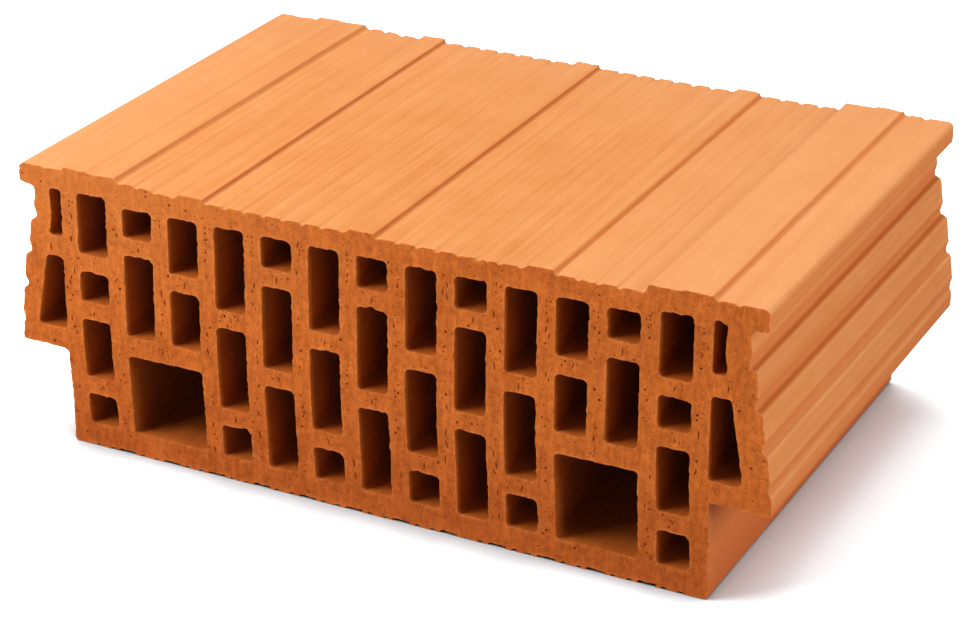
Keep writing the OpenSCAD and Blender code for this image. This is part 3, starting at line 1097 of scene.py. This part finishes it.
def clay_finish(
    name, deep, pale, dark, dust, weights, relief, tints, dusty, rim_dust_and_highlight_share, roughness, body, lines,
    pores, calm=0.0,
):
    """weights and relief say how much each effect counts for the colour and for the height.

    tints gives the colour of painted shade that a value multiplies by, and dusty how much it adds
    of the dust. rim_dust_and_highlight_share is how much a rim gets of the dust, partly rubbed dust
    and partly a painted highlight, and calm how much more even the sides are than the top.
    """
    material = bpy.data.materials.new(name)
    material.use_nodes = True
    tree = material.node_tree
    shader = tree.nodes["Principled BSDF"]
    place = add_node(tree, "TexCoord").outputs["Object"]
    place = add_node(tree, "VectorMath", {0: place, 3: 1 / mm}, operation="SCALE").outputs[0]

    def times(first, second):
        return calculate(tree, "MULTIPLY", first, second)

    def effect(group, inputs):
        node = add_node(tree, "Group", node_tree=group)
        for label, value in {"Place": place, **inputs}.items():
            fill_socket(tree, node.inputs[label], value)
        return {socket.name: socket for socket in node.outputs}

    effects = effect(body_group, body) | effect(lines_group, lines) | effect(pores_group, pores)
    effects |= effect(pale_and_shade_group, {"Half length": length / 2})
    for label in ("hollow", "rim", "painted_shade"):
        effects[label] = add_node(tree, "Attribute", attribute_name=label).outputs["Fac"]

    def weighed(shares):
        total = 0.0
        for label, share in shares.items():
            centred = calculate(tree, "SUBTRACT", effects[label], 0.5)
            total = calculate(tree, "ADD", times(centred, share), total)
        return total

    strength = calculate(tree, "ADD", times(effects["Turned away shade"], -calm), 1.0)
    tone = calculate(tree, "ADD", times(weighed(weights), strength), 0.5, clamp=True)
    colour = mixed(tree, tone, deep, pale)
    for label, share in dusty.items():
        colour = mixed(tree, times(effects[label], share), colour, dust)
    # The tints paint shade over the colour, darker where their value is high.
    for label, tint in tints.items():
        colour = mixed(tree, effects[label], colour, mixed(tree, 1.0, colour, tint, "MULTIPLY"))
    # Rims get paler: partly rubbed dust, partly a painted highlight.
    rim_dust_and_highlight = times(effects["rim"], effects["Blotches"])
    colour = mixed(tree, times(rim_dust_and_highlight, rim_dust_and_highlight_share), colour, dust)
    faint = times(effects["Pores"], PORE_DARKNESS)
    darkness = calculate(tree, "MAXIMUM", effects["hollow"], faint)
    colour = mixed(tree, times(darkness, DARKEST), colour, dark)
    tree.links.new(colour, shader.inputs["Base Color"])

    rough = spread(tree, effects["Blotches"], 0.0, 1.0, to=roughness)
    tree.links.new(rough, shader.inputs["Roughness"])
    height = calculate(tree, "SUBTRACT", weighed(relief), times(effects["Pores"], PORE_DEPTH))
    bump = add_node(tree, "Bump", {"Height": height, "Strength": 1.0, "Distance": RELIEF_HEIGHT})
    tree.links.new(bump.outputs[0], shader.inputs["Normal"])
    shader.inputs["Specular IOR Level"].default_value = DULL
    print(name, "has", len(tree.nodes), "nodes")
    return material


print("effects to draw on:", [group.name for group in bpy.data.node_groups])

# %% [markdown]
# ## Three finishes
# The drawn skin is the palest: the die polishes it, fine clay comes to the surface, and the fire
# reaches it freely. The hole walls are the same skin in a deeper tone, painted shade for the light
# that the holes lose. The wire-cut faces show the raw, grainy inside, in a stronger orange-red,
# with the most pores.

# %% Drawn skin
drawn_skin = clay_finish(
    "drawn skin", deep=(0.69, 0.232, 0.055), pale=(0.80, 0.334, 0.116), dark=(0.25, 0.06, 0.015),
    dust=(0.90, 0.42, 0.19),
    weights={
        "Patches": 0.30, "Blotches": 0.20, "Fine lines": 0.40, "Broad lines": 0.45, "Grains": 0.15,
    },
    relief={"Fine lines": 0.10, "Broad lines": 0.22, "Grains": 0.12, "Blotches": 0.15},
    # Painted shade: faces turned sideways or down, the low part, and the corners of grooves and
    # steps get darker tints.
    tints={
        "Turned away shade": (0.95, 0.76, 0.65),
        "Low shade": (0.85, 0.66, 0.57),
        "painted_shade": (0.68, 0.40, 0.14),
    },
    dusty={"Pale edges": 0.38}, rim_dust_and_highlight_share=0.4, calm=0.5, roughness=(0.62, 0.80),
    body={}, lines={"Line width": 1.3, "Stretch": (1, 50, 1)},
    pores={"Spacing": 9.0, "Pore size": 0.25, "Share": 0.25},
)

# %% Hole walls
# Painted shade: the hole walls are a darker copy of the skin.
shaded_bore_skin = clay_finish(
    "shaded bore skin", deep=(0.44, 0.098, 0.010), pale=(0.61, 0.145, 0.018), dark=(0.15, 0.03, 0.006),
    dust=(0.80, 0.24, 0.05),
    weights={
        "Patches": 0.3, "Blotches": 0.25, "Fine lines": 0.35, "Broad lines": 0.3, "Grains": 0.1,
    },
    relief={"Fine lines": 0.5, "Broad lines": 0.5, "Grains": 0.25, "Blotches": 0.3},
    # Painted shade: the hole walls darken deeper inside the holes.
    tints={"Deep inside shade": (0.48, 0.47, 0.36)}, dusty={}, rim_dust_and_highlight_share=0.5, roughness=(0.72, 0.88),
    body={}, lines={"Line width": 1.5},
    pores={"Spacing": 8.0, "Pore size": 0.3, "Share": 0.3},
)

# %% Wire-cut faces
cut_face = clay_finish(
    "cut face", deep=(0.48, 0.098, 0.012), pale=(0.86, 0.216, 0.035), dark=(0.18, 0.028, 0.004),
    dust=(0.90, 0.34, 0.085),
    weights={"Patches": 0.30, "Blotches": 0.50, "Grains": 0.50, "Broad lines": 0.4},
    relief={"Grains": 0.7, "Blotches": 0.5, "Broad lines": 0.4},
    # Painted shade: the cut face turns darker and redder towards its low part.
    tints={"Low shade": (0.86, 0.78, 0.80)}, dusty={"Paler corner": 0.26}, rim_dust_and_highlight_share=0.3,
    roughness=(0.82, 0.95),
    body={"Patch size": 16.0, "Blotch size": 4.5, "Grain size": 1.3},
    lines={"Line width": 0.6, "Stretch": (1, 1, 6)},
    pores={"Spacing": 4.2, "Pore size": 0.95, "Share": 0.45},
)
for material in (drawn_skin, shaded_bore_skin, cut_face):
    mesh.materials.append(material)
print("finishes on the block:", [m.name for m in mesh.materials])

# %% [markdown]
# ## Floor
# The floor is a plain pale sheet. A shadow catcher would do for one picture, but it gives no light
# back to the block. For the camera the sheet is brighter than white where nothing shades it, so
# only the block's own shadow shows. The block throws red light on it, so its camera colour is a
# little cool, which makes the shadow nearly neutral. For the light that bounces back to the block,
# it stays an ordinary grey floor.
#
# Ambient occlusion tells how open the floor is to the room, up to a few centimetres away. It is
# nearly closed in the narrow gaps of the keyed underside, which makes them dark, and half closed
# right beside the block, which gives the soft shade of contact. From one metre on, the sheet fades
# into the white of the room, so that no horizon shows from the side.

# %% Floor
FLOOR_SIZE = 30.0
FADE = (1.0, 2.0)        # how many metres from the block the sheet turns white
IN_GAP, BESIDE_BLOCK = (0.12, 0.45), (0.5, 0.92)         # how open the floor is there
CONTACT_SHADE = 0.42
floor_mesh = bpy.data.meshes.new("floor")
half = FLOOR_SIZE / 2
corners = [(x * half, y * half, 0) for x, y in ((-1, -1), (1, -1), (1, 1), (-1, 1))]
floor_mesh.from_pydata(corners, [], [(0, 1, 2, 3)])
floor = bpy.data.objects.new("floor", floor_mesh)
bpy.context.scene.collection.objects.link(floor)


def floor_material(grey, seen, reach):
    """grey is what bounced light meets, and seen is the camera's colour, darker within reach."""
    material = bpy.data.materials.new("pale floor")
    material.use_nodes = True
    tree = material.node_tree
    tree.nodes.remove(tree.nodes["Principled BSDF"])
    plain = add_node(tree, "BsdfDiffuse", {"Color": (grey, grey, grey, 1)})
    openness = add_node(tree, "AmbientOcclusion", {"Distance": reach}, samples=8).outputs["AO"]
    in_gap = spread(tree, openness, *IN_GAP)
    beside = spread(tree, openness, *BESIDE_BLOCK, to=(CONTACT_SHADE, 1.0))
    shade = calculate(tree, "MULTIPLY", in_gap, beside)
    colour = add_node(tree, "VectorMath", {0: seen, 3: shade}, operation="SCALE").outputs[0]
    near = add_node(tree, "BsdfDiffuse", {"Color": colour})
    place = add_node(tree, "NewGeometry").outputs["Position"]
    away = add_node(tree, "VectorMath", {0: place}, operation="LENGTH").outputs["Value"]
    white = add_node(tree, "Emission", {"Color": (1, 1, 1, 1), "Strength": 1.0})
    far_off = spread(tree, away, *FADE, "SMOOTHSTEP")
    shown = add_node(tree, "MixShader", {0: far_off, 1: near.outputs[0], 2: white.outputs[0]})
    camera_ray = add_node(tree, "LightPath").outputs["Is Camera Ray"]
    choice = add_node(tree, "MixShader", {0: camera_ray, 1: plain.outputs[0], 2: shown.outputs[0]})
    tree.links.new(choice.outputs[0], tree.nodes["Material Output"].inputs["Surface"])
    return material


floor_mesh.materials.append(floor_material(grey=0.45, seen=(1.58, 1.76, 1.84), reach=60 * mm))
print("floor:", FLOOR_SIZE, "m square, white from", FADE[1], "m on")

# %% [markdown]
# ## The room
# An all-white world would light the block from everywhere and take the shadows away. So the camera
# sees a white room, and the block gets only a faint, even fill from it.

# %% World
FILL = 0.07
world = bpy.data.worlds.new("soft room")
world.use_nodes = True
tree = world.node_tree
fill = tree.nodes["Background"]
fill.inputs["Color"].default_value = (1, 1, 1, 1)
fill.inputs["Strength"].default_value = FILL
white = add_node(tree, "Background", {"Color": (1, 1, 1, 1), "Strength": 1.0})
camera_ray = add_node(tree, "LightPath").outputs["Is Camera Ray"]
sky = add_node(tree, "MixShader", {0: camera_ray, 1: fill.outputs[0], 2: white.outputs[0]})
tree.links.new(sky.outputs[0], tree.nodes["World Output"].inputs["Surface"])
bpy.context.scene.world = world
print("fill light:", FILL)

# %% [markdown]
# ## Lamps
# A block shows its combing best in broad light from above and a little to the left, so that the
# right side of each raised strip lies in soft shadow. A sun would draw hard edges, so the lamps are
# large squares. Two at the front left light the cut face and reach a little way into the holes,
# one low on the right lights the banded flank, and one low in front lifts the foot.

# %% Lamps
def soft_lamp(name, place, aim, side, power):
    data = bpy.data.lights.new(name, "AREA")
    data.shape = "SQUARE"
    data.size = side
    data.energy = power
    lamp = bpy.data.objects.new(name, data)
    lamp.location = place
    lamp.rotation_euler = (Vector(aim) - Vector(place)).to_track_quat("-Z", "Y").to_euler()
    bpy.context.scene.collection.objects.link(lamp)


middle, near_corner = (0, 0, 0.1), (-0.1, -0.1, 0.15)
soft_lamp("overhead", (-0.48, 0.5, 2.7), middle, side=2.1, power=49)
soft_lamp("front left", (-1.2, -1.15, 1.1), middle, side=0.8, power=21)
soft_lamp("near left", (-0.8, -0.5, 0.9), near_corner, side=0.4, power=3)
soft_lamp("low right", (1.65, -0.12, 0.75), middle, side=0.9, power=17.5)
soft_lamp("low front", (0.3, -1.8, 0.5), middle, side=1.0, power=4)

# %% [markdown]
# ## Camera
# The camera stands to the right of the front and looks down on the block from some way off with a
# long lens, so that the section shows almost undistorted, with the deck and one flank beside it. A
# short lens from nearby would make the near corner loom.

# %% Camera
FILM_WIDTH, FOCAL_LENGTH = 36, 112.26
STANDS_AT = (0.7682, -1.6349, 0.9070)
TURNED_LEFT, LOOKING_DOWN, ROLLED = 25.38, 24.77, 1.26
camera_data = bpy.data.cameras.new("camera")
camera_data.sensor_width = FILM_WIDTH
camera_data.lens = FOCAL_LENGTH
camera = bpy.data.objects.new("camera", camera_data)
turn = Matrix.Rotation(math.radians(TURNED_LEFT), 4, "Z")
tilt = Matrix.Rotation(math.radians(90 - LOOKING_DOWN), 4, "X")
roll = Matrix.Rotation(math.radians(ROLLED), 4, "Z")
camera.matrix_world = Matrix.Translation(Vector(STANDS_AT)) @ turn @ tilt @ roll
bpy.context.scene.collection.objects.link(camera)
bpy.context.scene.camera = camera
bpy.context.scene.view_settings.view_transform = "Standard"
print("camera at", [round(v, 3) for v in camera.matrix_world.translation])
